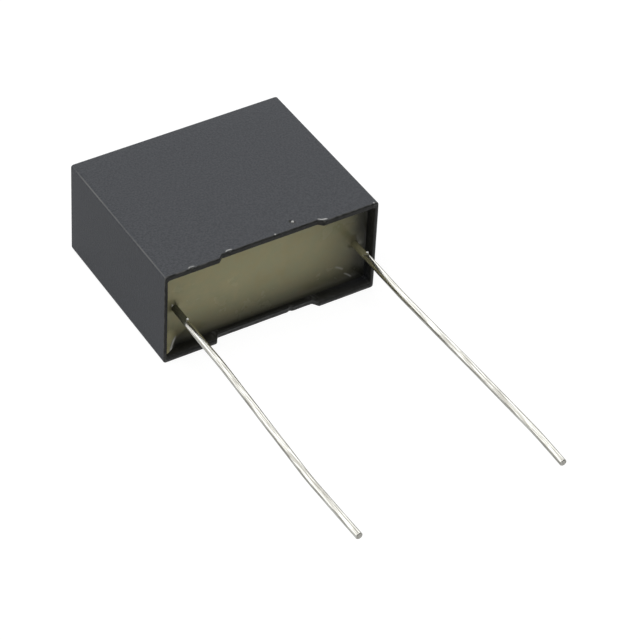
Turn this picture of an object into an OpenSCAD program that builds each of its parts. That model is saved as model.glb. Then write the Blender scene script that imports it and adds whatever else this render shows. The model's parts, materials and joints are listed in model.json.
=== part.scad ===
// Box film capacitor: a flattened film winding with sprayed ends and two tinned leads,
// set in a moulded case that is filled with casting resin from its open side.
// X runs across the two ends, Z through the thickness, and the leads leave towards -Y.
// The origin is midway between the leads, in the plane of the case's standoffs.

/* [Case] */
// Width of the case, from end wall to end wall
case_w = 26.5; // [25:0.1:30]
// Thickness of the case, from broad wall to broad wall
case_t = 12.2; // [10:0.1:16]
// Depth of the case, from the standoffs to the closed end
case_h = 21.6; // [17:0.1:30]
// Thickness of the two broad walls at the rim
broad_wall = 0.6; // [0.4:0.05:1]
// Thickness of the two end walls at the rim
end_wall = 0.4; // [0.3:0.05:0.8]
// Thickness of the closed end
closed_wall = 0.8; // [0.5:0.1:1.5]
// Draft of each outer wall, in degrees
outer_draft = 0.4; // [0.1:0.1:1]
// Draft of each inner wall, in degrees
inner_draft = 0.6; // [0.1:0.1:1.2]
// Radius of the case's outer edges
edge_r = 0.3; // [0.2:0.05:0.8]
// Radius of the corners inside the case
cavity_r = 0.3; // [0.2:0.05:1]
// Diameter of the gate mark in the upper broad wall
gate_d = 0.6; // [0.3:0.1:1]
// Distance from the rim to the gate mark
gate_from_rim = 1.7; // [1:0.1:6]
// Distance from the case's middle to the gate mark
gate_off = 3.3; // [0:0.1:5]

/* [Standoffs] */
// Width of the cut-back stretch in the middle of each broad wall's rim
relief_w = 11.7; // [6:0.1:16]
// Length of the slope between a standoff and the cut-back stretch
relief_slope = 0.7; // [0.2:0.1:1.5]
// Height of the standoffs on the upper broad wall
standoff_upper = 0.5; // [0.2:0.05:1]
// Height of the standoffs on the lower broad wall
standoff_lower = 0.8; // [0.2:0.05:1]
// Depth of the small nick in the lower broad wall's cut-back stretch
nick_depth = 0.15; // [0.05:0.05:0.3]
// Radius of that nick
nick_r = 0.3; // [0.2:0.05:0.5]
// Distance from the case's middle to the nick
nick_off = 3; // [0:0.1:5]

/* [Resin] */
// Depth of the resin's surface below the standoffs
resin_depth = 1.9; // [1.4:0.1:3]
// Radius of the hollow curve where the resin meets the walls
meniscus_r = 1.2; // [0.8:0.1:1.8]
// Height that the resin climbs on the walls
meniscus_h = 0.5; // [0.2:0.05:0.6]
// Height and reach of the resin collar around each lead
collar_r = 0.5; // [0.2:0.05:0.7]
// Length of bare wire between that collar and the lead's first bend
collar_clear = 0.3; // [0.2:0.05:0.5]

/* [Winding] */
// Depth of resin over the winding on the open side
resin_cover = 1.5; // [0.6:0.1:3]
// Gap between the wrapped winding and each broad wall
side_gap = 0.4; // [0.2:0.05:1]
// Gap between the wrapped winding and the closed end
closed_gap = 0.6; // [0.3:0.1:2]
// Thickness of the plain film wrapped around the winding
wrap_t = 0.2; // [0.1:0.05:0.4]
// Width of the slit left by the winding mandrel
slit_w = 6; // [3:0.5:8]
// Thickness of the slit left by the winding mandrel
slit_t = 0.15; // [0.1:0.05:0.3]
// Thickness of the sprayed metal on each end of the winding
spray_t = 0.45; // [0.3:0.05:0.8]

/* [Leads] */
// Distance from each end of the case to its lead's axis, at the standoffs
lead_inset = 2; // [1.8:0.05:2.6]
// Diameter of the tinned wire
lead_d = 0.8; // [0.5:0.05:0.9]
// Reach of the left lead beyond the standoffs
lead_reach_left = 37.5; // [30:0.5:45]
// Reach of the right lead beyond the standoffs
lead_reach_right = 38.6; // [34:0.1:45]
// Length of the parallel stretch of each lead beyond the standoffs
lead_straight = 7.5; // [3:0.5:10]
// Angle by which each lead spreads outwards after that stretch
lead_splay = 2.1; // [0.5:0.1:3]
// Angle by which each lead's end turns back inwards
lead_toe = 1.3; // [0.5:0.1:3]
// Where the left lead's end turns back, as a distance from the standoffs
toe_from_left = 26; // [18:0.5:26]
// Where the right lead's end turns back, as a distance from the standoffs
toe_from_right = 31; // [18:0.5:31]
// Radius of the bends in the leads
bend_r = 60; // [40:5:90]
// Amount by which the wire is thinner in its bends
bend_thinning = 0.02; // [0.01:0.01:0.06]
// Bevel at the cut end of each lead
tip_bevel = 0.1; // [0.05:0.05:0.2]
// Gap between a lead and the sprayed end, where the lead enters the resin
lead_gap = 0.1; // [0.05:0.05:0.15]
// Angle by which each lead leans onto its sprayed end, inside the resin
lead_lean = 1.2; // [0.9:0.1:1.5]
// Share of the winding's depth that the lead lies along
lead_overlap = 0.5; // [0.4:0.05:0.7]
// Radius of the solder joint on each sprayed end
solder_r = 0.95; // [0.8:0.05:1.1]
// Length of the solder joint, between the centres of its rounded ends
solder_len = 3; // [1:0.5:4]

/* [Hidden] */
$fn = 64;
eps = 0.01;
// how far a cut runs past the solid that it's made in
over = 1;
// how far a bend laps into the straight wire at each of its ends
bend_lap = 0.1;
// thickness of the resin collar's thin edges
collar_edge = 0.05;

// cavity of the case, at the rim
cavity_w = case_w - 2 * end_wall;
cavity_t = case_t - 2 * broad_wall;
cavity_h = case_h - closed_wall;

// wrapped winding: it fills the cavity but for its gaps
winding_y0 = resin_depth + resin_cover;
winding_y1 = cavity_h - closed_gap;
winding_d = winding_y1 - winding_y0;
winding_t = cavity_t - 2 * side_gap - 2 * cavity_h * tan(inner_draft);

// distance between the leads' axes; the sprayed ends' faces lie just inside the leads
lead_pitch = case_w - 2 * lead_inset;
spray_x = lead_pitch / 2 - lead_d / 2 - lead_gap;
film_w = 2 * (spray_x - spray_t);

// each lead is parallel to Y from just above the resin's collar to lead_straight
straight_from = resin_depth - collar_r - collar_clear;
lead_inner_end = winding_y0 + lead_overlap * winding_d;

// Half width of a drafted wall pair at the depth y
function drafted(half, draft, y) = half - y * tan(draft);

// A block with drafted sides and rounded edges, from y0 to y1, closed at y1.
// w and t are its sizes at y = 0.
module drafted_block(w, t, y0, y1, draft, r_side, r_end) {
    hull() for (sx = [-1, 1], sz = [-1, 1]) {
        translate([sx * (drafted(w / 2, draft, y0) - r_side), y0,
                sz * (drafted(t / 2, draft, y0) - r_side)])
            rotate([-90, 0, 0]) cylinder(r = r_side, h = eps, $fn = 32);
        translate([sx * (drafted(w / 2, draft, y1) - r_end), y1 - r_end,
                sz * (drafted(t / 2, draft, y1) - r_end)])
            rotate([-90, 0, 0]) sphere(r = r_end, $fn = 32);
    }
}

// The space inside the case from the depth y0 inwards, or opened past the rim
module cavity(y0 = -over) {
    drafted_block(cavity_w, cavity_t, y0, cavity_h, inner_draft, cavity_r, cavity_r);
}

// The stretch cut out of one broad wall's rim
module rim_relief(depth) {
    half = relief_w / 2;
    linear_extrude(height = case_t)
        polygon([[-half - relief_slope, -over], [-half - relief_slope, 0], [-half, depth],
            [half, depth], [half + relief_slope, 0], [half + relief_slope, -over]]);
}

module case() {
    color([0.22, 0.22, 0.23]) difference() {
        drafted_block(case_w, case_t, 0, case_h, outer_draft, edge_r, edge_r);
        cavity();
        rim_relief(standoff_upper);
        mirror([0, 0, 1]) rim_relief(standoff_lower);
        translate([nick_off, standoff_lower + nick_depth - nick_r, -case_t])
            cylinder(r = nick_r, h = case_t, $fn = 32);
        // gate mark, a shallow dimple in the upper broad wall
        translate([gate_off, gate_from_rim, case_t / 2]) sphere(d = gate_d, $fn = 32);
    }
}

// Flat-sided outline of a flattened roll, d deep and t thick
module roll_outline(d, t) {
    square([d - t, t], center = true);
    for (s = [-1, 1]) translate([s * (d - t) / 2, 0]) circle(d = t);
}

// Extrudes a roll's outline along X, centred on the winding
module roll(w, grow = 0) {
    translate([0, (winding_y0 + winding_y1) / 2, 0])
        rotate([0, -90, 0]) rotate([0, 0, 90])
        translate([0, 0, -w / 2]) linear_extrude(height = w)
        roll_outline(winding_d + 2 * grow, winding_t + 2 * grow);
}

module film_winding() {
    color([0.75, 0.76, 0.78]) difference() {
        roll(film_w, -wrap_t);
        translate([0, (winding_y0 + winding_y1) / 2, 0])
            cube([film_w + 2 * over, slit_w, slit_t], center = true);
    }
}

module film_wrap() {
    color([0.85, 0.82, 0.7]) difference() {
        roll(film_w);
        roll(film_w + 2 * over, -wrap_t);
    }
}

// The sprayed metal on the right-hand end, with the bed that the lead is pressed into
module end_spray() {
    difference() {
        translate([spray_x - spray_t / 2, 0, 0]) roll(spray_t);
        lead(lead_reach_right, toe_from_right);
    }
}

module end_spray_left() {
    color([0.6, 0.6, 0.6]) mirror([1, 0, 0]) end_spray();
}

module end_spray_right() {
    color([0.6, 0.6, 0.6]) end_spray();
}

// Round-ended drop of solder, centred on the right-hand sprayed end's face
module solder_drop() {
    translate([spray_x, lead_inner_end, 0]) {
        rotate([90, 0, 0]) cylinder(r = solder_r, h = solder_len);
        for (y = [0, -solder_len]) translate([0, y, 0]) sphere(r = solder_r);
    }
}

// Solder over the right-hand lead's inner end, standing on the sprayed end
module solder() {
    difference() {
        intersection() {
            solder_drop();
            translate([spray_x, 0, -case_t / 2]) cube([case_w, case_h, case_t]);
        }
        lead(lead_reach_right, toe_from_right);
    }
}

module solder_left() {
    color([0.72, 0.72, 0.7]) mirror([1, 0, 0]) solder();
}

module solder_right() {
    color([0.72, 0.72, 0.7]) solder();
}

// Length of wire in a bend of the given angle
function bend_length(angle) = bend_r * abs(angle) * PI / 180;

// Straight wire of length h along Z, with its far edge bevelled
module rod(h, bevel) {
    r = lead_d / 2;
    rotate_extrude() polygon([[0, 0], [r, 0], [r, h - bevel], [r - bevel, h], [0, h]]);
}

// Wire bent through the angle, from the origin's right-hand side. It is a hair thinner than
// the rods, as drawn wire is where it's bent, and laps a little way into both of them.
module bend(angle) {
    lap = bend_lap * 180 / (PI * bend_r);
    rotate([0, 0, -angle - lap]) rotate_extrude(angle = angle + 2 * lap, $fn = 720)
        translate([bend_r, 0]) circle(d = lead_d - bend_thinning, $fn = 64);
}

// Wire from the origin towards -Y. Each run is [straight length, bend angle after it],
// and a positive bend turns the wire towards +X.
module wire(runs, i = 0) {
    straight = runs[i][0];
    angle = runs[i][1];
    side = angle < 0 ? -1 : 1;
    last = i == len(runs) - 1;
    if (straight > 0) rotate([90, 0, 0]) rod(straight, last ? tip_bevel : 0);
    if (!last) translate([side * bend_r, -straight, 0]) {
        mirror([side > 0 ? 1 : 0, 0, 0]) bend(abs(angle));
        rotate([0, 0, angle]) translate([-side * bend_r, 0, 0]) wire(runs, i + 1);
    }
}

// The right-hand lead: its inner end leans onto the sprayed end, and its outer end is
// parallel at the standoffs, spreads, and turns back a little towards the tip
module lead(reach, toe_from) {
    out = straight_from + lead_straight;
    spread = toe_from - lead_straight - bend_length(lead_splay);
    tail = reach - toe_from - bend_length(lead_splay + lead_toe);
    inner = lead_inner_end - straight_from - bend_length(lead_lean);
    translate([lead_pitch / 2, straight_from, 0]) {
        wire([[out, lead_splay], [spread, -lead_splay - lead_toe], [tail, 0]]);
        mirror([0, 1, 0]) wire([[0, -lead_lean], [inner, 0]]);
    }
}

module lead_left() {
    color([0.8, 0.8, 0.8]) mirror([1, 0, 0]) lead(lead_reach_left, toe_from_left);
}

module lead_right() {
    color([0.8, 0.8, 0.8]) lead(lead_reach_right, toe_from_right);
}

// Hollow-sided collar of resin around a lead, with its foot in the resin's surface
module collar() {
    rise = collar_r + eps;
    translate([lead_pitch / 2, resin_depth + eps, 0]) rotate([90, 0, 0])
        rotate_extrude() difference() {
            square([lead_d / 2 + rise, rise]);
            translate([lead_d / 2 + rise + collar_edge, rise + collar_edge])
                circle(r = collar_r);
        }
}

module potting_resin() {
    // how far the hollow curve's ball reaches past the walls, to leave meniscus_h of climb
    past = meniscus_r - sqrt(meniscus_r ^ 2 - (meniscus_r - meniscus_h) ^ 2);
    color([0.45, 0.43, 0.33]) difference() {
        union() {
            difference() {
                cavity(resin_depth - meniscus_h);
                drafted_block(cavity_w + 2 * past, cavity_t + 2 * past, -2 * over, resin_depth,
                    0, meniscus_r, meniscus_r);
            }
            for (m = [0, 1]) mirror([m, 0, 0]) collar();
        }
        roll(2 * spray_x);
        for (m = [0, 1]) mirror([m, 0, 0]) {
            solder_drop();
            lead(lead_reach_right, toe_from_right);
        }
    }
}

case();
potting_resin();
film_winding();
film_wrap();
end_spray_left();
end_spray_right();
solder_left();
solder_right();
lead_left();
lead_right();
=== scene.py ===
import json
import math

import bmesh
import bpy
from mathutils import Matrix, Vector, noise


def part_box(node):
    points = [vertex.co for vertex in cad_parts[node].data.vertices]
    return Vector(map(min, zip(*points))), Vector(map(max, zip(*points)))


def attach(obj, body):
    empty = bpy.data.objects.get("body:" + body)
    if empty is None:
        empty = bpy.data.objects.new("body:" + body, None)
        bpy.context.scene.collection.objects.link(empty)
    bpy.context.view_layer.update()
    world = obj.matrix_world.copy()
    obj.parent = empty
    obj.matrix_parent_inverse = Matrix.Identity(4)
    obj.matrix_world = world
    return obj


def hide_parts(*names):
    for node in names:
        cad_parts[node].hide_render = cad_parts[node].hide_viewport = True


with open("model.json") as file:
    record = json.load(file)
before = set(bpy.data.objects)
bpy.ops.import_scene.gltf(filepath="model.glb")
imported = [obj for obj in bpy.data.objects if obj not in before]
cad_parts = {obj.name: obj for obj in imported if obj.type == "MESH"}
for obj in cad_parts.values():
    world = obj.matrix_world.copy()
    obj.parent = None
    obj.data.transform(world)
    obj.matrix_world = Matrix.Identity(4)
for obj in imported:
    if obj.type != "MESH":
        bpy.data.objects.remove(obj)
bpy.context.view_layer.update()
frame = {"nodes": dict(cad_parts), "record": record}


# ---- Film winding ---------------------------------------------------------------------
# Two ribbons of metallised polypropylene film, wound together on a flat mandrel and
# pressed into a block. It is sealed in the resin, and its cut edges face the two ends.

MM = 0.001


def add(tree, kind, inputs=None, **settings):
    """A new node. Each input is linked when it is given a socket, and set otherwise."""
    made = tree.nodes.new(kind)
    for name, value in settings.items():
        setattr(made, name, value)
    for key, value in (inputs or {}).items():
        if isinstance(value, bpy.types.NodeSocket):
            tree.links.new(value, made.inputs[key])
        else:
            made.inputs[key].default_value = value
    return made


def calc(tree, operation, *values):
    """The result of a math node on numbers or sockets."""
    return add(tree, "ShaderNodeMath", dict(enumerate(values)), operation=operation).outputs[0]


def plus(tree, first, second):
    """The sum of two numbers or sockets."""
    return calc(tree, "ADD", first, second)


def minus(tree, first, second):
    """The first less the second."""
    return calc(tree, "SUBTRACT", first, second)


def times(tree, first, second):
    """The product of two numbers or sockets."""
    return calc(tree, "MULTIPLY", first, second)


def vector_calc(tree, operation, *values):
    """The vector that a vector math node makes."""
    return add(tree, "ShaderNodeVectorMath", dict(enumerate(values)), operation=operation).outputs[0]


def ramp(tree, value, low, high, to_low=0.0, to_high=1.0):
    """A number between low and high, spread smoothly over to_low..to_high."""
    inputs = {"Value": value, "From Min": low, "From Max": high, "To Min": to_low, "To Max": to_high}
    return add(tree, "ShaderNodeMapRange", inputs, interpolation_type="SMOOTHSTEP").outputs[0]


def blend(tree, mask, first, second):
    """The first colour where the mask is 0, and the second where it is 1."""
    mix = add(tree, "ShaderNodeMix", data_type="RGBA")
    for socket, value in ((mix.inputs[0], mask), (mix.inputs[6], first), (mix.inputs[7], second)):
        if isinstance(value, bpy.types.NodeSocket):
            tree.links.new(value, socket)
        else:
            socket.default_value = value
    return mix.outputs[2]


def colour(red, green, blue):
    """An opaque colour."""
    return (red, green, blue, 1.0)


def new_group(name, kind, inputs, outputs):
    """A node group with named sockets: (the tree, its given values, its results)."""
    tree = bpy.data.node_groups.new(name, kind)
    for label, socket, value in inputs:
        made = tree.interface.new_socket(label, in_out="INPUT", socket_type="NodeSocket" + socket)
        if value is not None:
            made.default_value = value
    for label, socket in outputs:
        tree.interface.new_socket(label, in_out="OUTPUT", socket_type="NodeSocket" + socket)
    return tree, tree.nodes.new("NodeGroupInput").outputs, tree.nodes.new("NodeGroupOutput").inputs


# the share of a surface's cells that hold no speck
EMPTY_CELLS = 0.72


def surface_grain():
    """Shader group: the fine grain, the cloudy unevenness and the stray specks of a surface."""
    tree, given, result = new_group(
        "surface_grain",
        "ShaderNodeTree",
        [("Vector", "Vector", None), ("Grain per mm", "Float", 8.0), ("Clouds per mm", "Float", 0.3),
         ("Specks per mm", "Float", 0.8), ("Speck Size", "Float", 0.06)],
        [("Grain", "Float"), ("Clouds", "Float"), ("Specks", "Float")],
    )
    place = vector_calc(tree, "SCALE", given["Vector"])
    place.node.inputs["Scale"].default_value = 1 / MM
    grain = add(tree, "ShaderNodeTexNoise", {
        "Vector": place, "Scale": given["Grain per mm"], "Detail": 3.0, "Roughness": 0.6})
    clouds = add(tree, "ShaderNodeTexNoise", {
        "Vector": place, "Scale": given["Clouds per mm"], "Detail": 4.0, "Roughness": 0.55})
    cells = add(tree, "ShaderNodeTexVoronoi", {
        "Vector": place, "Scale": given["Specks per mm"], "Randomness": 1.0})
    chosen = calc(tree, "GREATER_THAN", add(tree, "ShaderNodeSeparateColor", {
        "Color": cells.outputs["Color"]}).outputs["Red"], EMPTY_CELLS)
    near = ramp(tree, cells.outputs["Distance"], given["Speck Size"], 0.0)
    tree.links.new(grain.outputs["Fac"], result["Grain"])
    tree.links.new(clouds.outputs["Fac"], result["Clouds"])
    tree.links.new(times(tree, chosen, near), result["Specks"])
    return tree


GRAIN = surface_grain()
# a noise rarely leaves this span, so it stands for all of the way from low to high
GRAIN_SPAN = (0.3, 0.7)


def new_material(name, grain_per_mm, clouds_per_mm, specks_per_mm, speck_size, stretch=(1, 1, 1)):
    """A material with the grain group on Object coordinates: (material, tree, shader, grain).
    The pattern is drawn out along an axis where stretch is below 1."""
    material = bpy.data.materials.new(name)
    material.use_nodes = True
    tree = material.node_tree
    place = add(tree, "ShaderNodeMapping", {
        "Vector": add(tree, "ShaderNodeTexCoord").outputs["Object"], "Scale": stretch})
    grain = add(tree, "ShaderNodeGroup", node_tree=GRAIN)
    tree.links.new(place.outputs[0], grain.inputs["Vector"])
    grain.inputs["Grain per mm"].default_value = grain_per_mm
    grain.inputs["Clouds per mm"].default_value = clouds_per_mm
    grain.inputs["Specks per mm"].default_value = specks_per_mm
    grain.inputs["Speck Size"].default_value = speck_size
    return material, tree, tree.nodes["Principled BSDF"], grain.outputs


def emboss(tree, shader, height, depth_mm):
    """Feeds a height into the shader's normal, depth_mm deep where the height goes from 0 to 1."""
    bump = add(tree, "ShaderNodeBump", {"Height": height, "Distance": depth_mm * MM})
    tree.links.new(bump.outputs[0], shader.inputs["Normal"])


def finish(tree, shader, grain, tones, rough, relief, metallic=0.0):
    """A surface that varies with its grain. tones is (an output of the grain group, the colour
    where it is 0, the colour where it is 1), rough is (an output, the roughness where it is
    low, where it is high), and relief is the depth of the fine grain in mm."""
    tree.links.new(blend(tree, grain[tones[0]], *tones[1:]), shader.inputs["Base Color"])
    tree.links.new(ramp(tree, grain[rough[0]], *GRAIN_SPAN, *rough[1:]), shader.inputs["Roughness"])
    emboss(tree, shader, grain["Grain"], relief)
    shader.inputs["Metallic"].default_value = metallic


def dress(node, material):
    """Gives a CAD node that stays in view its material."""
    part = frame["nodes"][node]
    part.data.materials.clear()
    part.data.materials.append(material)


ribbon, tree, shader, grain = new_material(
    "metallised_ribbon", grain_per_mm=3.0, clouds_per_mm=0.2, specks_per_mm=0.5, speck_size=0.03,
    stretch=(1, 1, 12))
finish(tree, shader, grain, tones=("Grain", colour(0.46, 0.47, 0.5), colour(0.62, 0.63, 0.65)),
       rough=("Clouds", 0.25, 0.4), relief=0.01, metallic=0.8)
dress("film_winding", ribbon)


# ---- Film wrap ------------------------------------------------------------------------
# A few turns of plain, unmetallised film round the winding, fused to themselves with a
# hot iron. They keep the winding pressed together and insulate its outer turn.

wrap, tree, shader, grain = new_material(
    "plain_ribbon", grain_per_mm=2.0, clouds_per_mm=0.15, specks_per_mm=0.5, speck_size=0.04,
    stretch=(1, 1, 6))
finish(tree, shader, grain, tones=("Clouds", colour(0.66, 0.6, 0.42), colour(0.78, 0.74, 0.58)),
       rough=("Clouds", 0.15, 0.3), relief=0.005)
dress("film_wrap", wrap)


# ---- Sprayed ends ---------------------------------------------------------------------
# Molten zinc is sprayed on both cut edges of the winding, where it joins every turn of
# the metallised film. It sets as a dull grainy layer that the leads can be soldered to.

zinc, tree, shader, grain = new_material(
    "sprayed_zinc", grain_per_mm=6.0, clouds_per_mm=0.5, specks_per_mm=1.5, speck_size=0.1)
finish(tree, shader, grain, tones=("Grain", colour(0.3, 0.3, 0.31), colour(0.5, 0.5, 0.51)),
       rough=("Grain", 0.55, 0.8), relief=0.06, metallic=0.9)
for side in ("left", "right"):
    dress("end_spray_" + side, zinc)


# ---- Solder ---------------------------------------------------------------------------
# A blob of tin solder holds the inner end of each lead on its sprayed end. It is smooth
# and bright, with the slight waves of metal that set quickly.

tin_blob, tree, shader, grain = new_material(
    "solder_blob", grain_per_mm=1.5, clouds_per_mm=0.6, specks_per_mm=1.0, speck_size=0.05)
finish(tree, shader, grain, tones=("Clouds", colour(0.55, 0.55, 0.54), colour(0.72, 0.72, 0.7)),
       rough=("Grain", 0.18, 0.35), relief=0.05, metallic=1.0)
for side in ("left", "right"):
    dress("solder_" + side, tin_blob)


# ---- Leads ----------------------------------------------------------------------------
# Two tinned copper wires. Each leaves the resin straight, spreads a little, and turns
# back near its end, which is cut square with a slightly rounded edge. A film of resin has
# run down its root, its olive tone partly painted reflection and shade, and a bead of pale
# tin beside it is a painted highlight.

MOUNTS = {mount["name"]: mount for mount in frame["record"]["mounts"]}
LEAD_X = MOUNTS["lead_pair"]["dims"]["spacing_x_mm"] / 2
LEAD_R = MOUNTS["lead_pair"]["dims"]["stud_r_mm"]
# the stretch that stays straight, as Y in mm, and the bends inside the resin and beyond it
STRAIGHT_FROM = 1.1
STRAIGHT_TO = -7.5
BEND_R = 60
LEAN = math.radians(1.2)
SPREAD = math.radians(2.1)
TURN_BACK = math.radians(3.4)
# how much shorter a lead is cut than its solid
CUT_SHORT = 0.3
TIP_BEVEL = 0.1
PATH_STEP = 0.25
WIRE_SIDES = 48
# where along a lead it starts to drift sideways, and over what length it does so
DRIFT_FROM = 10.0
DRIFT_OVER = 6.0
WOBBLE = 0.08
WOBBLES_PER_MM = 0.12


def wire_path(side, toe):
    """The points of a lead's middle line in mm, from its inner end to its tip. The heading is
    the angle from -Y outwards, and each run is (its length, or the angle that it turns)."""
    low, high = (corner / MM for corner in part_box("lead_" + side))
    inner = high.y - STRAIGHT_FROM - BEND_R * LEAN
    spread = -toe - -STRAIGHT_TO - BEND_R * SPREAD
    tail = -low.y - CUT_SHORT + toe - BEND_R * TURN_BACK
    runs = [("straight", inner), ("turn", LEAN), ("straight", STRAIGHT_FROM - STRAIGHT_TO),
            ("turn", SPREAD), ("straight", spread), ("turn", -TURN_BACK), ("straight", tail)]
    x, y, heading = 0.0, 0.0, -LEAN
    points = [Vector((x, y, 0))]
    for kind, amount in runs:
        length = amount if kind == "straight" else BEND_R * abs(amount)
        steps = max(1, round(length / PATH_STEP))
        for _ in range(steps):
            turn = 0.0 if kind == "straight" else amount / steps
            x += math.sin(heading + turn / 2) * length / steps
            y -= math.cos(heading + turn / 2) * length / steps
            heading += turn
            points.append(Vector((x, y, 0)))
    # the parallel stretch is where the mounts put it
    rounding = 0.01
    level = next(p for p in points if p.y + high.y <= STRAIGHT_FROM + rounding)
    outward = -1 if side == "left" else 1
    return [Vector((outward * (p.x - level.x + LEAD_X), p.y + high.y, 0)) for p in points]


def wire_tree():
    """Geometry nodes: a round wire along a curve, with rounded cut ends and a slight wobble."""
    tree, given, result = new_group(
        "tinned_wire_along_path",
        "GeometryNodeTree",
        [("Path", "Geometry", None), ("Radius", "Float", 0.4), ("Bevel", "Float", 0.1),
         ("Drift", "Float", 0.0), ("Drift From", "Float", 10.0), ("Drift Over", "Float", 6.0),
         ("Wobble", "Float", 0.01), ("Wobbles per mm", "Float", 0.12), ("Material", "Material", None)],
        [("Mesh", "Geometry")],
    )
    along = add(tree, "GeometryNodeSplineParameter").outputs["Length"]
    end = minus(tree, add(tree, "GeometryNodeSplineLength").outputs["Length"], along)
    # the wire drifts sideways past Drift From, and wobbles a little all along
    drift_end = plus(tree, given["Drift From"], given["Drift Over"])
    drift = times(tree, given["Drift"], ramp(tree, along, given["Drift From"], drift_end))
    waves = add(tree, "ShaderNodeTexNoise", {"Scale": given["Wobbles per mm"], "Detail": 1.0})
    even = vector_calc(tree, "SUBTRACT", waves.outputs["Color"], (0.5, 0.5, 0.5))
    shake = vector_calc(tree, "SCALE", even)
    tree.links.new(given["Wobble"], shake.node.inputs["Scale"])
    sideways = add(tree, "ShaderNodeCombineXYZ", {"X": drift}).outputs[0]
    moved = add(tree, "GeometryNodeSetPosition", {
        "Geometry": given["Path"], "Offset": vector_calc(tree, "ADD", sideways, shake)})
    # a quarter-round bevel: the radius falls by bevel - sqrt(bevel^2 - gap^2)
    bevel = given["Bevel"]
    gap = minus(tree, bevel, calc(tree, "MINIMUM", bevel, end))
    square = minus(tree, calc(tree, "POWER", bevel, 2.0), calc(tree, "POWER", gap, 2.0))
    loss = minus(tree, bevel, calc(tree, "SQRT", square))
    scale = calc(tree, "DIVIDE", minus(tree, given["Radius"], loss), given["Radius"])
    ring = add(tree, "GeometryNodeCurvePrimitiveCircle", {
        "Resolution": WIRE_SIDES, "Radius": given["Radius"]})
    tube = add(tree, "GeometryNodeCurveToMesh", {
        "Curve": moved.outputs[0], "Profile Curve": ring.outputs["Curve"], "Scale": scale,
        "Fill Caps": True})
    whole = add(tree, "GeometryNodeRealizeInstances", {"Geometry": tube.outputs[0]})
    coated = add(tree, "GeometryNodeSetMaterial", {
        "Geometry": whole.outputs[0], "Material": given["Material"]})
    tree.links.new(coated.outputs[0], result["Mesh"])
    return tree


def grow(name, tree, source, **inputs):
    """A plain mesh object in metres, made by the geometry nodes from source's data in mm."""
    holder = bpy.data.objects.new(name + "_holder", source)
    bpy.context.scene.collection.objects.link(holder)
    modifier = holder.modifiers.new("nodes", "NODES")
    modifier.node_group = tree
    sockets = {s.name: s.identifier for s in tree.interface.items_tree if s.in_out == "INPUT"}
    for label, value in inputs.items():
        modifier[sockets[label.replace("_", " ")]] = value
    graph = bpy.context.evaluated_depsgraph_get()
    mesh = bpy.data.meshes.new_from_object(holder.evaluated_get(graph), depsgraph=graph)
    holder.modifiers.remove(modifier)
    bpy.data.objects.remove(holder)
    mesh.name = name
    mesh.transform(Matrix.Scale(MM, 4))
    made = bpy.data.objects.new(name, mesh)
    bpy.context.scene.collection.objects.link(made)
    return made


def path_curve(name, points):
    """A poly curve through the points, with more of them where the tip's bevel runs."""
    last, before = points[-1], points[-2]
    back = (before - last).normalized()
    turns = [math.radians(angle) for angle in range(0, 91, 15)]
    points = points[:-1] + [last + back * TIP_BEVEL * (1 - math.sin(turn)) for turn in turns]
    data = bpy.data.curves.new(name, "CURVE")
    data.dimensions = "3D"
    spline = data.splines.new("POLY")
    spline.points.add(len(points) - 1)
    for point, place in zip(spline.points, points):
        point.co = (*place, 1)
    return data


DULL_TIN, BRIGHT_TIN = colour(0.42, 0.41, 0.37), colour(0.84, 0.84, 0.79)
# the film's olive tones are partly painted reflection; the darker one, on the left lead, is painted shade
LEFT_FILM_SHADE, RIGHT_FILM_TONE = colour(0.06, 0.06, 0.04), colour(0.19, 0.18, 0.105)
# the film is gone at FILM_END and whole from FILM_FULL on, as Y in mm; its edge slants and wavers
FILM_END = -1.4
FILM_FULL = -1.1
FILM_SLANT = 0.9
FILM_UNEVEN = 0.5
tinned, tree, shader, grain = new_material(
    "bright_tin", grain_per_mm=9.0, clouds_per_mm=0.8, specks_per_mm=0.7, speck_size=0.05,
    stretch=(1, 0.03, 1))
metal = blend(tree, ramp(tree, grain["Grain"], 0.44, 0.6), DULL_TIN, BRIGHT_TIN)
# the film of resin reaches further down on the side towards the other lead. Its olive tone is
# partly painted reflection, and it is darker on the left lead as painted shade
spot = add(tree, "ShaderNodeSeparateXYZ", {
    "Vector": add(tree, "ShaderNodeTexCoord").outputs["Object"]}).outputs
outward = minus(tree, calc(tree, "ABSOLUTE", spot["X"]), LEAD_X * MM)
film_end = plus(tree, spot["Y"], times(tree, outward, FILM_SLANT))
uneven = times(tree, minus(tree, grain["Clouds"], 0.5), FILM_UNEVEN * MM)
resin_film = ramp(tree, plus(tree, film_end, uneven), FILM_END * MM, FILM_FULL * MM)
coating = blend(tree, ramp(tree, spot["X"], -MM, MM), LEFT_FILM_SHADE, RIGHT_FILM_TONE)
tree.links.new(blend(tree, resin_film, metal, coating), shader.inputs["Base Color"])
tree.links.new(minus(tree, 1.0, resin_film), shader.inputs["Metallic"])
tree.links.new(ramp(tree, grain["Clouds"], *GRAIN_SPAN, 0.14, 0.24), shader.inputs["Roughness"])
emboss(tree, shader, grain["Grain"], 0.006)

# the bead is paler and less metallic than bright tin, so that it shows white in the case's shade: a
# painted highlight
bead_tin_painted_glint, tree, shader, grain = new_material(
    "tin_bead_painted_glint", grain_per_mm=2.0, clouds_per_mm=0.8, specks_per_mm=1.0, speck_size=0.05)
finish(tree, shader, grain, tones=("Clouds", colour(0.86, 0.86, 0.82), colour(0.95, 0.95, 0.92)),
       rough=("Grain", 0.3, 0.45), relief=0.01, metallic=0.6)

WIRES = wire_tree()
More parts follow.
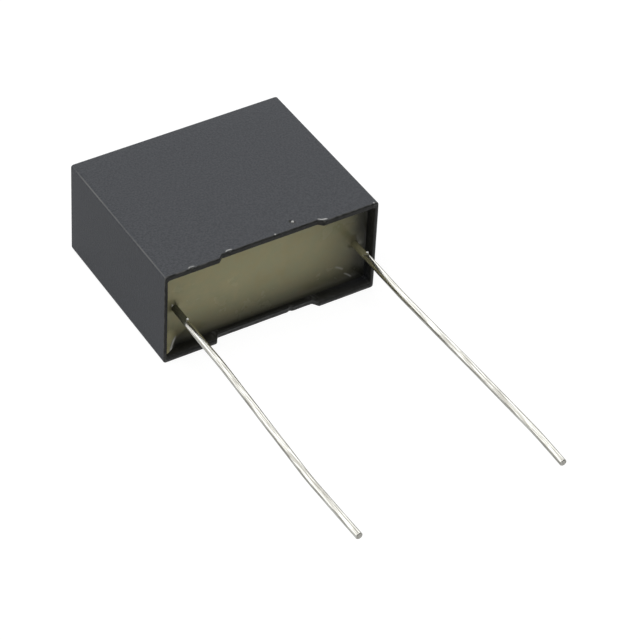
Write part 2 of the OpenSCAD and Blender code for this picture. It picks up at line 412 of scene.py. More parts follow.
# (side, Y where it turns back, how far it drifts, middle and radius of its bead of tin), in mm
LEADS = (
    ("left", -26, -0.04, Vector((-11.12, -1.2, 0.38)), 0.14),
    ("right", -31, 0.03, Vector((11.5, -0.95, 0.32)), 0.17),
)
for side, toe, drift, bead, bead_r in LEADS:
    route = path_curve("route_" + side, wire_path(side, toe))
    lead = grow("tinned_lead_" + side, WIRES, route, Radius=LEAD_R, Bevel=TIP_BEVEL, Drift=drift,
                Drift_From=DRIFT_FROM, Drift_Over=DRIFT_OVER, Wobble=WOBBLE,
                Wobbles_per_mm=WOBBLES_PER_MM, Material=tinned)
    work = bmesh.new()
    work.from_mesh(lead.data)
    ball = bmesh.ops.create_icosphere(work, subdivisions=3, radius=bead_r * MM,
                                      matrix=Matrix.Translation(bead * MM))
    for face in {face for vert in ball["verts"] for face in vert.link_faces}:
        face.material_index = 1
    work.to_mesh(lead.data)
    lead.data.materials.append(bead_tin_painted_glint)
    work.free()
    lead.data.shade_smooth()
    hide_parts("lead_" + side)
    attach(lead, "root")


# ---- Case -----------------------------------------------------------------------------
# A box moulded in dark glass-filled plastic, open towards the leads. The middle of both
# broad walls is cut back, so the box stands on its corners and flux can be washed out.

case_low, case_high = (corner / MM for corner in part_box("case"))
CASE_X, CASE_Y, CASE_Z = case_high.x, case_high.y, case_high.z
# the walls taper towards the closed end, so that the case leaves its mould
OUTER_DRAFT = math.tan(math.radians(0.4))
INNER_DRAFT = math.tan(math.radians(0.6))
BACK_X, BACK_Z = CASE_X - CASE_Y * OUTER_DRAFT, CASE_Z - CASE_Y * OUTER_DRAFT
BROAD_WALL = 0.6
END_WALL = 0.4
FLOOR_WALL = 0.8
EDGE_R = 0.3
CAVITY_R = 0.3
# how far the rim is cut back: (from x, to x, depth), with a slope at each end of half length STEP
UPPER_RELIEF = (-6.35, 6.1, 0.5)
LOWER_RELIEF = (-6.4, 6.05, 0.79)
STEP = 0.36
# the lower relief gets shallower towards its right end: (by how much, from x, to x)
SHALLOWER = (0.07, 2.4, 3.2)
# a small nick in the lower rim
NICK_X, NICK_DEPTH, NICK_HALF = 3.0, 0.16, 0.22
# how the rim wavers: (height in mm, waves per mm, seed)
RIM_WAVER = ((0.018, 0.9, 3.1), (0.006, 4, 8.7))
# the rounding of the rim's two edges, as shares of the wall, and the lip inside the broad walls
OUTER_ROUND = 0.2
INNER_ROUND = 0.3
RIM_LIP = 0.12
# how far the rim is free of the cavity's painted shade
RIM_UNSHADED = 0.1
# the gate's mark in the upper wall: a round pit with a nub in its middle
GATE = Vector((3.3, 1.7, 0))
GATE_R = 0.3
GATE_PIT = 0.14
GATE_NUB = 0.12
# bites in the outer edge of the upper rim, where the moulding was torn from its insert:
# (x, radius, how strong the painted highlight behind it is). Those below SPECK_R are pale specks.
BITES = ((-5.12, 0.2, 1.0), (6.4, 0.25, 1.0), (0.58, 0.08, 1.0), (-9.96, 0.2, 0.7), (12.7, 0.08, 0.9))
SPECK_R = 0.1
# width of each of the painted highlight lines down the inner wall beside a step of the rim
FOLD = 0.5


def smooth(value, low, high):
    """0 up to low and 1 from high on, with a smooth rise between them."""
    t = min(1, max(0, (value - low) / (high - low)))
    return t * t * (3 - 2 * t)


def between(value, start, full, fading, end):
    """0 up to start, 1 from full to fading, and 0 again from end on."""
    return smooth(value, start, full) * (1 - smooth(value, fading, end))


def rim_depth(x, z):
    """How far the rim lies behind the standoffs, in mm, at a place on the case's outline."""
    waver = sum(height * noise.noise(Vector((x * often, z * often, seed)))
                for height, often, seed in RIM_WAVER)
    start, end, depth = UPPER_RELIEF if z > 0 else LOWER_RELIEF
    relief = depth * between(x, start - STEP, start + STEP, end - STEP, end + STEP)
    if z < 0:
        less, less_from, less_to = SHALLOWER
        relief -= less * smooth(x, less_from, less_to) * (relief / depth)
        relief += NICK_DEPTH * math.exp(-((x - NICK_X) / NICK_HALF) ** 2)
    # the relief is in the broad walls only, and fades out round the corners
    broad = smooth(abs(z), CASE_Z * 0.8, CASE_Z * 0.93)
    return max(0, relief * broad + waver)


def spread_out(length, features, fine=0.06, coarse=0.4, reach=0.75):
    """Places from -length to length, close together near the features."""
    places, x = [], -length
    while x < length - fine:
        places.append(x)
        x += fine if any(abs(x - f) < reach for f in features) else coarse
    return places


def fit_side(place, reach, full, kept):
    """A place on a side of half length full, moved onto a side of half length reach. Places
    up to kept from the middle stay where they are, if the new side holds them."""
    if reach <= kept:
        return place * reach / full
    past = max(0, abs(place) - kept)
    return math.copysign(abs(place) - past + past * (reach - kept) / (full - kept), place)


def outline(half_x, half_z, radius):
    """Points (x, z) round a rounded rectangle, as many at any size: along the lower wall, up
    the right one, back along the upper wall and down the left one, each with its corner."""
    straight_x, straight_z = half_x - radius, half_z - radius
    along_x = [fit_side(place, straight_x, SIDE_X, KEPT_X) for place in ALONG_X]
    along_z = [fit_side(place, straight_z, SIDE_Z, KEPT_Z) for place in ALONG_Z]
    sides = (
        ([(x, -half_z) for x in along_x], (straight_x, -straight_z)),
        ([(half_x, z) for z in along_z], (straight_x, straight_z)),
        ([(x, half_z) for x in reversed(along_x)], (-straight_x, straight_z)),
        ([(-half_x, z) for z in reversed(along_z)], (-straight_x, -straight_z)),
    )
    points = []
    for turn, (side, (centre_x, centre_z)) in enumerate(sides):
        points += side
        for step in range(1, CORNER_STEPS):
            angle = (turn - 1 + step / CORNER_STEPS) * math.pi / 2
            points.append((centre_x + radius * math.cos(angle), centre_z + radius * math.sin(angle)))
    return points


CORNER_STEPS = 9
SIDE_X, SIDE_Z = CASE_X - EDGE_R, CASE_Z - EDGE_R
# points this near to the middle of a side stay in line from ring to ring
KEPT_X, KEPT_Z = 11, 4
FEATURES = (UPPER_RELIEF[0], UPPER_RELIEF[1], NICK_X, GATE.x, *(bite[0] for bite in BITES))
ALONG_X = spread_out(SIDE_X, FEATURES) + [SIDE_X]
ALONG_Z = spread_out(SIDE_Z, ()) + [SIDE_Z]
# half of the gap left along the closed end's middle line, which is then merged shut
SEAM = 0.001
# the rings' places: shares of the way in on the closed end, steps round its edge, steps down
# the outer walls, finer steps near the rim, shares of the flat of the rim, and depths inside
BACK_INSETS = (1, 0.85, 0.65, 0.4, 0.2, 0.08)
EDGE_STEPS = 8
WALL_STEP, WALL_ROWS = 2.2, 8
RIM_ZONE, RIM_STEP, RIM_ROWS = 2.9, 0.07, 40
RIM_FLAT = (0.28, 0.36, 0.44, 0.52, 0.6, 0.66)
INNER_ROWS = (0.9, 1.2, 1.5, 1.9, 2.4, 4, 8, 14, CASE_Y - FLOOR_WALL)


def on_corner():
    """For each point of an outline, how near it is to the middle of a corner, from 0 to 1."""
    bend = [min(1, max(0, 1.7 - 8 * abs(step / CORNER_STEPS - 0.5))) for step in range(1, CORNER_STEPS)]
    return ([0.0] * len(ALONG_X) + bend + [0.0] * len(ALONG_Z) + bend) * 2


# Each of the next four makes rings of the case, in the order in which they are joined. A ring
# is (its points, how far each is free of painted shade, how strong its painted highlight is), from 0 to
# 1.

def back_rows():
    """The closed end from its middle line outwards, and the rounded edge round it."""
    rows = []
    for inset in BACK_INSETS:
        gap = EDGE_R + inset * (BACK_Z - EDGE_R - SEAM)
        ring = outline(BACK_X - gap, BACK_Z - gap, 0.4 * SEAM)
        rows.append(([Vector((x, CASE_Y, z)) for x, z in ring], [1.0] * len(ring), [0.0] * len(ring)))
    for step in range(EDGE_STEPS + 1):
        share = step / EDGE_STEPS
        turn = share * math.pi / 2
        gap, y = EDGE_R * (1 - math.sin(turn)), CASE_Y - EDGE_R * (1 - math.cos(turn))
        ring = outline(BACK_X - gap, BACK_Z - gap, EDGE_R)
        # a painted highlight along the middle of the rounded edge
        highlit = [max(0, 1 - 4 * abs(share - 0.5))] * len(ring)
        rows.append(([Vector((x, y, z)) for x, z in ring], [1.0] * len(ring), highlit))
    return rows


def outer_rows():
    """The outer walls, which widen towards the rim and follow its line ever more closely."""
    heights = [CASE_Y - EDGE_R - step * WALL_STEP for step in range(1, WALL_ROWS + 1)]
    heights += [RIM_ZONE - step * RIM_STEP for step in range(RIM_ROWS)]
    rows = []
    for y in heights:
        wider = (CASE_Y - EDGE_R - y) * OUTER_DRAFT
        ring = outline(BACK_X + wider, BACK_Z + wider, EDGE_R)
        follow = smooth(RIM_ZONE - y, 0, RIM_STEP * (RIM_ROWS - 1))
        points = [Vector((x, y + rim_depth(x, z) * follow, z)) for x, z in ring]
        # painted highlights along the middle of the long corner edges
        rows.append((points, [1.0] * len(ring), on_corner()))
    return rows


def rim_rows():
    """The rounded rim, from the outer wall to the inner wall."""
    outer = outline(CASE_X, CASE_Z, EDGE_R)
    inner = outline(CASE_X - END_WALL, CASE_Z - BROAD_WALL - RIM_LIP, CAVITY_R)
    turns = [math.radians(angle) for angle in range(0, 91, 15)]
    # (share of the way across the wall, share of the wall that it lies back by)
    across_rim = [(OUTER_ROUND * (1 - math.cos(turn)), OUTER_ROUND * (1 - math.sin(turn)))
                  for turn in turns]
    across_rim += [(share, 0.0) for share in RIM_FLAT]
    across_rim += [(1 - INNER_ROUND * (1 - math.cos(turn)), INNER_ROUND * (1 - math.sin(turn)))
                   for turn in reversed(turns)]
    rows = []
    for share, back in across_rim:
        ring, highlit = [], []
        for (ox, oz), (ix, iz) in zip(outer, inner):
            wall = math.hypot(ix - ox, iz - oz)
            y = rim_depth(ox, oz) + wall * back
            ring.append(Vector((ox + (ix - ox) * share, y, oz + (iz - oz) * share)))
            highlit.append(rim_highlight(ox, oz, share))
        rows.append((ring, [RIM_UNSHADED] * len(ring), highlit))
    return rows


def inner_rows():
    """The inner walls, down to the floor of the cavity. Their painted shade is lifted low down on
    the right and on the right wall, and beside the steps of the lower wall lines of painted highlight run
    down them."""
    outer = outline(CASE_X, CASE_Z, EDGE_R)
    shade_lift = [0.45 * smooth(-oz, 2, 6) * smooth(ox, 6, 13)
            + smooth(ox, 12.4, 13.1) * (0.15 + 0.5 * smooth(oz, 4.2, 5.4)) for ox, oz in outer]
    rows = []
    for y in INNER_ROWS:
        shrink, lip = y * INNER_DRAFT, RIM_LIP * (1 - smooth(y, 0.6, 1.6))
        ring = outline(CASE_X - END_WALL - shrink, CASE_Z - BROAD_WALL - shrink - lip, CAVITY_R)
        # the walls follow the rim's line near it
        follow = 0.5 * (1 - smooth(y, 0.6, 2.2))
        points = [Vector((x, y + rim_depth(ox, oz) * follow, z)) for (x, z), (ox, oz) in zip(ring, outer)]
        fold_highlight_share = 0.5 * smooth(2.4 - y, 0, 1.0)
        highlit = [fold_highlight_share * fold_highlight(ox + 0.25 * y) if oz < 0 else 0.0 for ox, oz in outer]
        rows.append((points, shade_lift, highlit))
    return rows


def marks(place):
    """The gate's dimple and the bites at a point of the upper wall: (how deep it is pressed in,
    how pale it is painted, for painted highlights and pale specks, how dark it is painted, for painted
    shade)."""
    if place.z < CASE_Z * 0.9:
        return 0.0, 0.0, 0.0
    aside, behind = place.x - GATE.x, place.y - GATE.y
    away = math.hypot(aside, behind) / GATE_R
    depth = GATE_PIT * (1 - smooth(away, 0.6, 1.0)) - GATE_NUB * (1 - smooth(away, 0.0, 0.5))
    # the nub has a painted highlight, and painted shade lies in the pit round it on its left and near
    # sides
    pale = 1 - smooth(math.hypot(aside - 0.06, behind - 0.05) / GATE_R, 0.3, 0.65)
    dark = between(away, 0.4, 0.6, 1.2, 1.5) * smooth(-aside - behind, -0.25, 0.05)
    for x, radius, whiteness in BITES:
        aside, back = place.x - x, place.y - rim_depth(place.x, CASE_Z) - 0.12
        if radius < SPECK_R:
            pale += whiteness * math.exp(-(math.hypot(aside, back - 0.08) / radius) ** 2)
            continue
        away = math.hypot(aside, back) / radius
        # a hollow with painted shade inside, and a painted highlight in an arc behind it
        depth += 0.7 * radius * (1 - smooth(away, 0.4, 1.0))
        dark += 1 - smooth(away, 0.6, 1.0)
        arc = math.hypot(aside * 0.6, back) / radius - 1.1
        pale += whiteness * math.exp(-(arc / 0.26) ** 2) * smooth(back / radius, 0.35, 0.8)
    # inside the wall the rim keeps its place
    outside = place.z > CASE_Z - 0.2
    return depth if outside else 0.0, min(1, pale), min(1, dark)


def fold_highlight(x):
    """How strong the painted highlight is in the three lines that run down the inner wall beside each
    step of the rim.
    """
    return sum(math.sin((x - step) * math.pi / FOLD) ** 2 * (1 - smooth(abs(x - step), FOLD, 0.9))
               for step in LOWER_RELIEF[:2])


def rim_highlight(x, z, across):
    """How strong the painted highlight is at a share of the way across the rim, from the outer wall
    to the inner. It lies all across the lower rim where it is cut back, but mostly in its outer half
    on its feet, and so on the right rim. On the upper and left ones it is patchy along their edge."""
    patchy = 0.5 + 0.9 * noise.noise(Vector((x * 2.6, z * 2.6, across * 3)))
    outer_line = math.exp(-((across - 0.04) / 0.07) ** 2) * smooth(patchy, 0.3, 0.8)
    band = between(across, 0.14, 0.3, 0.75, 0.9)
    outer_half = between(across, 0.1, 0.25, 0.4, 0.6)
    relief_from, relief_to, _ = LOWER_RELIEF
    on_relief = between(x, relief_from - 0.3, relief_from, relief_to, relief_to + 0.3)
    if z < -CASE_Z * 0.8:
        return (0.4 + 0.5 * patchy) * (band * on_relief + (0.2 + outer_half) * (1 - on_relief))
    if x > CASE_X * 0.96:
        return 0.14 + 0.36 * outer_half
    if z > CASE_Z * 0.8:
        return (0.02 + 0.2 * patchy) * band + outer_line * (0.8 - 0.5 * on_relief)
    return 0.04 * band + 0.7 * outer_line


def shell_mesh(name, rows):
    """A mesh in metres from rings of points in mm, with a face over the last ring. The first
    ring stays open: it is the seam of the closed end, whose sides are merged afterwards."""
    count = len(rows[0])
    points = [p for row in rows for p in row]
    faces = []
    for r in range(len(rows) - 1):
        for i in range(count):
            j = (i + 1) % count
            a, b = r * count, (r + 1) * count
            faces.append((a + i, a + j, b + j, b + i))
    faces.append(tuple(range((len(rows) - 1) * count, len(rows) * count)))
    mesh = bpy.data.meshes.new(name)
    mesh.from_pydata([p * MM for p in points], [], faces)
    return mesh


rings, bare, edge = zip(*back_rows(), *outer_rows(), *rim_rows(), *inner_rows())
places = [place for ring in rings for place in ring]
bare = [value for ring in bare for value in ring]
edge = [value for ring in edge for value in ring]
pale = []
for number, place in enumerate(places):
    depth, whiteness, shade = marks(place)
    place.z -= depth
    # painted shade in the bites and the gate's pit
    bare[number] *= 1 - shade
    edge[number] *= 1 - shade
    pale.append(whiteness)
case_mesh = shell_mesh("moulded_case", rings)
for name, values in (("bare", bare), ("pale", pale), ("edge", edge)):
    case_mesh.attributes.new(name, "FLOAT", "POINT").data.foreach_set("value", values)
work = bmesh.new()
work.from_mesh(case_mesh)
bmesh.ops.remove_doubles(work, verts=work.verts, dist=2 * SEAM * MM)
bmesh.ops.dissolve_degenerate(work, edges=work.edges, dist=SEAM * MM)
bmesh.ops.recalc_face_normals(work, faces=work.faces)
work.to_mesh(case_mesh)
work.free()
case_mesh.shade_smooth()
case = bpy.data.objects.new("moulded_case", case_mesh)
bpy.context.scene.collection.objects.link(case)

BLACK_TONE, GREY_TONE = colour(0.026, 0.029, 0.036), colour(0.07, 0.075, 0.084)
GLASS_SPECK = colour(0.3, 0.3, 0.28)
# the painted shade of the cavity and the rim
CAVITY_SHADE_TONE = colour(0.014, 0.014, 0.011)
# painted highlights on edges, the rim and lines down the inner walls
HIGHLIGHT_TONE = colour(0.15, 0.152, 0.15)
# painted highlights at the bites and the gate's nub, and pale specks
HIGHLIGHT_AND_SPECK_TONE = colour(0.75, 0.75, 0.73)
plastic, tree, shader, grain = new_material(
    "moulded_plastic", grain_per_mm=4.5, clouds_per_mm=0.16, specks_per_mm=0.35, speck_size=0.045)
tint = blend(tree, ramp(tree, grain["Grain"], *GRAIN_SPAN), BLACK_TONE, GREY_TONE)
tint = blend(tree, grain["Specks"], tint, GLASS_SPECK)
# the inner walls and most of the rim are darker, as painted shade, and smoother
unshaded_plastic = add(tree, "ShaderNodeAttribute", attribute_name="bare").outputs["Fac"]
tint = blend(tree, unshaded_plastic, CAVITY_SHADE_TONE, tint)
# painted highlights on the edges, across the rim and in lines down the inner walls, in patches
highlit = add(tree, "ShaderNodeAttribute", attribute_name="edge").outputs["Fac"]
patches = ramp(tree, grain["Clouds"], 0.35, 0.6, 0.5, 1.0)
tint = blend(tree, times(tree, highlit, patches), tint, HIGHLIGHT_TONE)
# painted highlights at the bites and the gate's nub, and pale specks
highlights_and_specks = add(tree, "ShaderNodeAttribute", attribute_name="pale").outputs["Fac"]
tree.links.new(blend(tree, highlights_and_specks, tint, HIGHLIGHT_AND_SPECK_TONE), shader.inputs["Base Color"])
rough = ramp(tree, grain["Grain"], *GRAIN_SPAN, 0.4, 0.58)
tree.links.new(times(tree, rough, ramp(tree, unshaded_plastic, 0.0, 1.0, 0.75, 1.0)), shader.inputs["Roughness"])
emboss(tree, shader, grain["Grain"], 0.03)
shader.inputs["Specular IOR Level"].default_value = 0.3
case_mesh.materials.append(plastic)
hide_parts("case")
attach(case, "root")


# ---- Casting resin --------------------------------------------------------------------
# Yellowish filled resin, poured into the case round the winding and cured. It creeps up
# the walls and round the leads while it is liquid, which leaves a hollow, glossy surface.

# how far the level surface lies behind the standoffs
RESIN_LEVEL = 1.9
# how high it climbs at the walls and the leads, and how far from them it still does, in mm
CLIMB = 0.5
CREEP = 0.55
COLLAR = 0.5
COLLAR_REACH = 0.22
CORNER_CLIMB = 1.2
# how far from each wall its painted shade and painted reflection still darken the resin, in mm
WALL_SHADE_LEFT = 0.12
WALL_SHADE_RIGHT = 3.6
WALL_SHADE_BELOW = 3.4
WALL_SHADE_ABOVE = 0.45
# how far the block laps into the walls round it, where nothing shows
HIDDEN_LAP = 0.05
# points along and across the surface
COLUMNS, ROWS = 170, 76


def resin_tree():
    """Geometry nodes: a block whose front is a liquid's surface between walls. The attribute
    clear_of_painted_shade is 0 where painted shade and painted reflection of the dark walls cover the
    resin, and 1 where there is none."""
    tree, given, result = new_group(
        "resin_between_walls",
        "GeometryNodeTree",
        [("Source", "Geometry", None), ("Half Width", "Float", 12.8), ("Half Height", "Float", 5.5),
         ("Corner", "Float", 0.6), ("Depth", "Float", 19.0), ("Level", "Float", 1.9),
         ("Draft", "Float", 0.01), ("Climb", "Float", 0.5), ("Creep", "Float", 0.5),
         ("Lead X", "Float", 11.25), ("Lead Radius", "Float", 0.4), ("Collar", "Float", 0.5),
         ("Collar Reach", "Float", 0.2), ("Tint Left", "Float", 1.0), ("Tint Right", "Float", 1.0),
         ("Tint Below", "Float", 1.0), ("Tint Above", "Float", 1.0), ("Corner Climb", "Float", 1.2),
         ("Material", "Material", None)],
        [("Mesh", "Geometry")],
    )

    def crowd(value):
        """A place from -1 to 1, moved towards the nearer wall, where the surface curves."""
        return calc(tree, "SINE", times(tree, value, math.pi / 2))

    def fade(distance, reach):
        """1 at no distance, falling off over the reach."""
        return calc(tree, "EXPONENT", calc(tree, "DIVIDE", times(tree, distance, -1.0), reach))

    def diagonal(first, second):
        """The length of the hypotenuse."""
        squares = plus(tree, calc(tree, "POWER", first, 2.0), calc(tree, "POWER", second, 2.0))
        return calc(tree, "SQRT", squares)

    block = add(tree, "GeometryNodeMeshCube", {
        "Size": (2, 2, 2), "Vertices X": COLUMNS, "Vertices Y": 2, "Vertices Z": ROWS})
    spot = add(tree, "ShaderNodeSeparateXYZ", {
        "Vector": add(tree, "GeometryNodeInputPosition").outputs[0]}).outputs
    at_front = calc(tree, "LESS_THAN", spot["Y"], 0.0)
    down = times(tree, given["Depth"], minus(tree, 1.0, at_front))
    shrink = times(tree, given["Draft"], down)
    half_x = minus(tree, given["Half Width"], shrink)
    half_z = minus(tree, given["Half Height"], shrink)
    x = times(tree, crowd(spot["X"]), half_x)
    z = times(tree, crowd(spot["Z"]), half_z)
    # gap to the nearest wall, rounded at the corners of the cavity
    from_x = minus(tree, half_x, calc(tree, "ABSOLUTE", x))
    from_z = minus(tree, half_z, calc(tree, "ABSOLUTE", z))
    corner = given["Corner"]
    into_x = calc(tree, "MAXIMUM", minus(tree, corner, from_x), 0.0)
    into_z = calc(tree, "MAXIMUM", minus(tree, corner, from_z), 0.0)
    round_gap = minus(tree, corner, diagonal(into_x, into_z))
    past_corner = minus(tree, calc(tree, "MINIMUM", from_x, from_z), corner)
    gap = plus(tree, round_gap, calc(tree, "MAXIMUM", past_corner, 0.0))
    gap = calc(tree, "MAXIMUM", gap, 0.0)
    rise = times(tree, given["Climb"], fade(gap, given["Creep"]))
    # painted shade and painted reflection of the dark walls, strongest next to them
    from_left = plus(tree, half_x, x)
    from_below = plus(tree, half_z, z)
    clear = 1.0
    for name, from_wall in (("Tint Left", from_left), ("Tint Right", minus(tree, half_x, x)),
                            ("Tint Below", from_below), ("Tint Above", minus(tree, half_z, z))):
        wall_shade = fade(from_wall, given[name])
        clear = times(tree, clear, minus(tree, 1.0, wall_shade))
    # a collar round each lead, with a ring of painted shade that is fainter on the right
    beyond_lead = minus(tree, calc(tree, "ABSOLUTE", x), given["Lead X"])
    out = minus(tree, diagonal(beyond_lead, z), given["Lead Radius"])
    out = calc(tree, "MAXIMUM", out, 0.0)
    collar = times(tree, given["Collar"], fade(out, given["Collar Reach"]))
    rise = plus(tree, rise, collar)
    # painted shade round the root of each lead
    ring = times(tree, times(tree, 0.75, fade(out, 0.2)), ramp(tree, x, -1.0, 1.0, 1.0, 0.3))
    clear = times(tree, clear, minus(tree, 1.0, ring))
    # it climbs highest in the lower left corner, in a tongue along the left wall. Above the
    # tongue's slanting edge the walls' painted shade is lifted, and painted shade lies below it.
    tongue = times(tree, given["Corner Climb"], fade(from_below, 1.0))
    tongue = times(tree, tongue, ramp(tree, from_left, 2.2, 0.0))
    rise = plus(tree, rise, tongue)
    slant = minus(tree, times(tree, from_left, 0.6), 0.4)
    edge = minus(tree, from_below, slant)
    near_corner = times(tree, ramp(tree, from_left, 3.0, 1.2), ramp(tree, from_below, 3.5, 1.5))
    lit = times(tree, ramp(tree, edge, -0.05, 0.2, 0.0, 0.8), near_corner)
    # painted shade below the tongue's slanting edge
    beside = times(tree, ramp(tree, edge, 0.1, -0.3, 0.0, 0.6), ramp(tree, from_left, 5.0, 2.5))
    clear = times(tree, clear, minus(tree, 1.0, beside))
    clear = calc(tree, "MAXIMUM", clear, lit)
    surface = minus(tree, given["Level"], rise)
    bottom = plus(tree, given["Level"], given["Depth"])
    y = add(tree, "GeometryNodeSwitch", {0: at_front, 1: bottom, 2: surface}, input_type="FLOAT")
    place = add(tree, "ShaderNodeCombineXYZ", {"X": x, "Y": y.outputs[0], "Z": z}).outputs[0]
    marked = add(tree, "GeometryNodeStoreNamedAttribute", {
        "Geometry": block.outputs["Mesh"], "Name": "clear_of_painted_shade", "Value": clear})
    shaped = add(tree, "GeometryNodeSetPosition", {"Geometry": marked.outputs[0], "Position": place})
    whole = add(tree, "GeometryNodeRealizeInstances", {"Geometry": shaped.outputs[0]})
    filled = add(tree, "GeometryNodeSetMaterial", {
        "Geometry": whole.outputs[0], "Material": given["Material"]})
    tree.links.new(filled.outputs[0], result["Mesh"])
    return tree


def stroke_mask():
    """Shader group: 1 on a soft stroke from Start to End, which are in mm, and 0 away from it."""
    tree, given, result = new_group(
        "stroke_mask",
        "ShaderNodeTree",
        [("Vector", "Vector", None), ("Start", "Vector", None), ("End", "Vector", None),
         ("Width", "Float", 0.1), ("Bow", "Float", 0.0)],
        [("Mask", "Float")],
    )
    place = vector_calc(tree, "SCALE", given["Vector"])
    place.node.inputs["Scale"].default_value = 1 / MM
    # seen along Y, so that a stroke lies on the surface at any depth
    flat = [vector_calc(tree, "MULTIPLY", v, (1, 0, 1))
            for v in (place, given["Start"], given["End"])]
    run = vector_calc(tree, "SUBTRACT", flat[2], flat[1])
    reach = vector_calc(tree, "SUBTRACT", flat[0], flat[1])
    heading = vector_calc(tree, "NORMALIZE", run)
    sideways = vector_calc(tree, "CROSS_PRODUCT", heading, (0, 1, 0))
    length, ahead, aside = (
        add(tree, "ShaderNodeVectorMath", inputs, operation=operation).outputs["Value"]
        for operation, inputs in (("LENGTH", {0: run}), ("DOT_PRODUCT", {0: reach, 1: heading}),
                                  ("DOT_PRODUCT", {0: reach, 1: sideways})))
    along = calc(tree, "DIVIDE", ahead, length)
    # the stroke bows out by Bow in its middle, and tapers off at both ends
    arch = times(tree, times(tree, along, 4.0), minus(tree, 1.0, along))
    bowed = times(tree, given["Bow"], arch)
    off = calc(tree, "DIVIDE", minus(tree, aside, bowed), given["Width"])
    near = calc(tree, "EXPONENT", times(tree, times(tree, off, off), -1.0))
    ends = times(tree, ramp(tree, along, -0.05, 0.3), ramp(tree, along, 1.05, 0.8))
    tree.links.new(times(tree, near, ends), result["Mask"])
    return tree


STROKE = stroke_mask()
BROWNER, YELLOWER = colour(0.65, 0.59, 0.32), colour(0.73, 0.67, 0.38)
GREENER = colour(0.645, 0.625, 0.36)
# the painted shade and painted reflection of the walls on the resin
RESIN_SHADE_TONE = colour(0.02, 0.021, 0.018)
resin, tree, shader, grain = new_material(
    "cured_resin", grain_per_mm=0.55, clouds_per_mm=0.22, specks_per_mm=0.25, speck_size=0.05)
body = blend(tree, ramp(tree, grain["Clouds"], *GRAIN_SPAN), BROWNER, YELLOWER)
body = blend(tree, ramp(tree, grain["Grain"], 0.35, 0.65), body, GREENER)
# painted shade and painted reflection of the dark walls
clear = add(tree, "ShaderNodeAttribute", attribute_name="clear_of_painted_shade").outputs["Fac"]
body = blend(tree, clear, RESIN_SHADE_TONE, body)
# painted highlights and painted shade on the resin: (start, end, width, bow, strength, colour), with
# the first four in mm
HIGHLIGHT_PAINT, SHADE_PAINT = colour(0.85, 0.84, 0.78), colour(0.03, 0.03, 0.02)
PAINTED_LIGHT_STROKES = (
    ((-10.72, 0, -4.5), (-12.2, 0, -5.5), 0.12, 0.14, 1.0, HIGHLIGHT_PAINT),
    ((9.2, 0, -3.0), (10.4, 0, -3.8), 0.13, 0.05, 0.25, HIGHLIGHT_PAINT),
    ((10.4, 0, -4.3), (11.4, 0, -5.1), 0.09, 0.03, 0.35, HIGHLIGHT_PAINT),
    ((11.7, 0, 0.8), (12.3, 0, -0.9), 0.3, 0.0, 0.25, HIGHLIGHT_PAINT),
    ((-11.4, 0, 0.5), (-11.52, 0, 0.2), 0.09, 0.0, 0.9, HIGHLIGHT_PAINT),
    ((12.35, 0, 5.2), (12.45, 0, 0.6), 0.7, 0.0, 0.75, SHADE_PAINT),
    ((12.3, 0, -1.2), (11.9, 0, -4.6), 0.6, 0.0, 0.3, SHADE_PAINT),
    ((-11.05, 0, 0.9), (-11.3, 0, -0.5), 0.14, 0.05, 0.5, SHADE_PAINT),
)
place = add(tree, "ShaderNodeTexCoord").outputs["Object"]
for start, end, width, bow, strength, shade in PAINTED_LIGHT_STROKES:
    mask = add(tree, "ShaderNodeGroup", {
        "Vector": place, "Start": start, "End": end, "Width": width, "Bow": bow}, node_tree=STROKE)
    body = blend(tree, times(tree, mask.outputs["Mask"], strength), body, shade)
tree.links.new(body, shader.inputs["Base Color"])
tree.links.new(ramp(tree, grain["Clouds"], *GRAIN_SPAN, 0.2, 0.28), shader.inputs["Roughness"])
emboss(tree, shader, grain["Clouds"], 0.008)
shader.inputs["Specular IOR Level"].default_value = 0.3

taper = RESIN_LEVEL * INNER_DRAFT
cast = grow("cast_resin", resin_tree(), bpy.data.meshes.new("empty"),
            Half_Width=CASE_X - END_WALL - taper + HIDDEN_LAP,
            Half_Height=CASE_Z - BROAD_WALL - taper + HIDDEN_LAP,
            Corner=CAVITY_R, Depth=CASE_Y - FLOOR_WALL - RESIN_LEVEL, Level=RESIN_LEVEL,
            Draft=INNER_DRAFT, Climb=CLIMB, Creep=CREEP, Lead_X=LEAD_X, Lead_Radius=LEAD_R,
            Collar=COLLAR, Collar_Reach=COLLAR_REACH, Tint_Left=WALL_SHADE_LEFT, Tint_Right=WALL_SHADE_RIGHT,
            Tint_Below=WALL_SHADE_BELOW, Tint_Above=WALL_SHADE_ABOVE, Corner_Climb=CORNER_CLIMB, Material=resin)
cast.data.shade_smooth()
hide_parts("potting_resin")
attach(cast, "root")


# ---- Floor, light and camera ----------------------------------------------------------
# The part lies on its lower broad wall on a plain white floor, in a pale studio. One soft
# lamp hangs above it, and two more stand behind it, a large one on the left and a small
# one on the right.

FLOOR_REACH = 3.0
FLOOR_GLOW = 0.9
FLOOR_MIRRORED = 0.28
reach, level = FLOOR_REACH, case_low.z * MM
floor_mesh = bpy.data.meshes.new("floor")
floor_mesh.from_pydata([(-reach, -reach, level), (reach, -reach, level), (reach, reach, level),
                        (-reach, reach, level)], [], [(0, 1, 2, 3)])
floor = bpy.data.objects.new("floor", floor_mesh)
bpy.context.scene.collection.objects.link(floor)
white = bpy.data.materials.new("white_floor")
white.use_nodes = True
tree = white.node_tree
tree.nodes.clear()
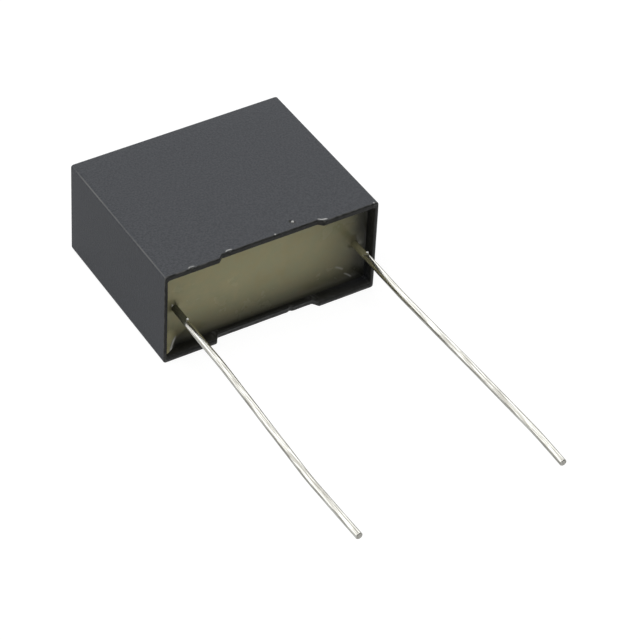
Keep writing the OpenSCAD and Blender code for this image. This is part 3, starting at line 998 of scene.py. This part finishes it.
# the camera sees the floor as white with a faint shadow, and gloss sees some of that white
seen = add(tree, "ShaderNodeLightPath")
lit = add(tree, "ShaderNodeBsdfDiffuse", {"Color": colour(0.6, 0.6, 0.6)})
faint = add(tree, "ShaderNodeBsdfDiffuse", {"Color": colour(0.2, 0.2, 0.2)})
glow = add(tree, "ShaderNodeEmission", {"Color": colour(1, 1, 1), "Strength": FLOOR_GLOW})
shown = add(tree, "ShaderNodeAddShader", {0: faint.outputs[0], 1: glow.outputs[0]})
in_gloss = times(tree, seen.outputs["Is Glossy Ray"], FLOOR_MIRRORED)
mirrored = add(tree, "ShaderNodeMixShader", {0: in_gloss, 1: lit.outputs[0], 2: glow.outputs[0]})
floor_look = add(tree, "ShaderNodeMixShader", {
    0: seen.outputs["Is Camera Ray"], 1: mirrored.outputs[0], 2: shown.outputs[0]})
add(tree, "ShaderNodeOutputMaterial", {"Surface": floor_look.outputs[0]})
floor_mesh.materials.append(white)

# the studio's light is even and dim, but gloss sees it brighter above and behind the object
# than in front of it, and the camera sees it white
AMBIENT = 0.2
MIRRORED = 0.85
world = bpy.data.worlds.new("studio")
bpy.context.scene.world = world
world.use_nodes = True
tree = world.node_tree
tree.nodes.clear()
seen = add(tree, "ShaderNodeLightPath")
aim = add(tree, "ShaderNodeSeparateXYZ", {
    "Vector": add(tree, "ShaderNodeTexCoord").outputs["Generated"]}).outputs
ceiling = ramp(tree, aim["Z"], 0.0, 0.8, 0.5, 1.0)
behind = ramp(tree, aim["Y"], -0.6, 0.5, 0.12, 1.0)
in_gloss = times(tree, times(tree, ceiling, behind), MIRRORED)
more = times(tree, seen.outputs["Is Glossy Ray"], minus(tree, in_gloss, AMBIENT))
light = calc(tree, "MAXIMUM", plus(tree, more, AMBIENT), seen.outputs["Is Camera Ray"])
sky = add(tree, "ShaderNodeBackground", {"Color": colour(1, 1, 1), "Strength": light})
add(tree, "ShaderNodeOutputWorld", {"Surface": sky.outputs[0]})

# (name, place and side in metres, power in watts)
LAMPS = (
    ("key", (-0.1, -0.08, 0.6), 0.4, 1.4),
    ("back", (0.35, 0.45, 0.35), 0.5, 0.7),
    ("side", (-0.5, 0.42, 0.3), 1.2, 4.0),
)
for name, place, side, power in LAMPS:
    data = bpy.data.lights.new(name, "AREA")
    data.shape = "SQUARE"
    data.size = side
    data.energy = power
    lamp = bpy.data.objects.new(name, data)
    lamp.location = place
    lamp.rotation_mode = "QUATERNION"
    lamp.rotation_quaternion = (-Vector(place)).to_track_quat("-Z", "Y")
    bpy.context.scene.collection.objects.link(lamp)

# the camera stands well back, turned a little about its own axis, and aims low past the rim
AIM = Vector((4.832, -2.510, -5.472)) * MM
DISTANCE = 359.1 * MM
AZIMUTH = math.radians(-33.34)
ELEVATION = math.radians(41.68)
ROLL = math.radians(3.327)
SENSOR = 36
FOCAL_LENGTH = 185.07
back = Vector((math.sin(AZIMUTH) * math.cos(ELEVATION), -math.cos(AZIMUTH) * math.cos(ELEVATION),
               math.sin(ELEVATION)))
right = Vector((math.cos(AZIMUTH), math.sin(AZIMUTH), 0))
up = back.cross(right)
turned_right = right * math.cos(ROLL) + up * math.sin(ROLL)
turned_up = up * math.cos(ROLL) - right * math.sin(ROLL)
lens = bpy.data.cameras.new("camera")
lens.sensor_width = SENSOR
lens.lens = FOCAL_LENGTH
camera = bpy.data.objects.new("camera", lens)
axes = Matrix((turned_right, turned_up, back)).transposed().to_4x4()
camera.matrix_world = Matrix.Translation(AIM + back * DISTANCE) @ axes
bpy.context.scene.collection.objects.link(camera)
bpy.context.scene.camera = camera
bpy.context.scene.view_settings.view_transform = "Standard"
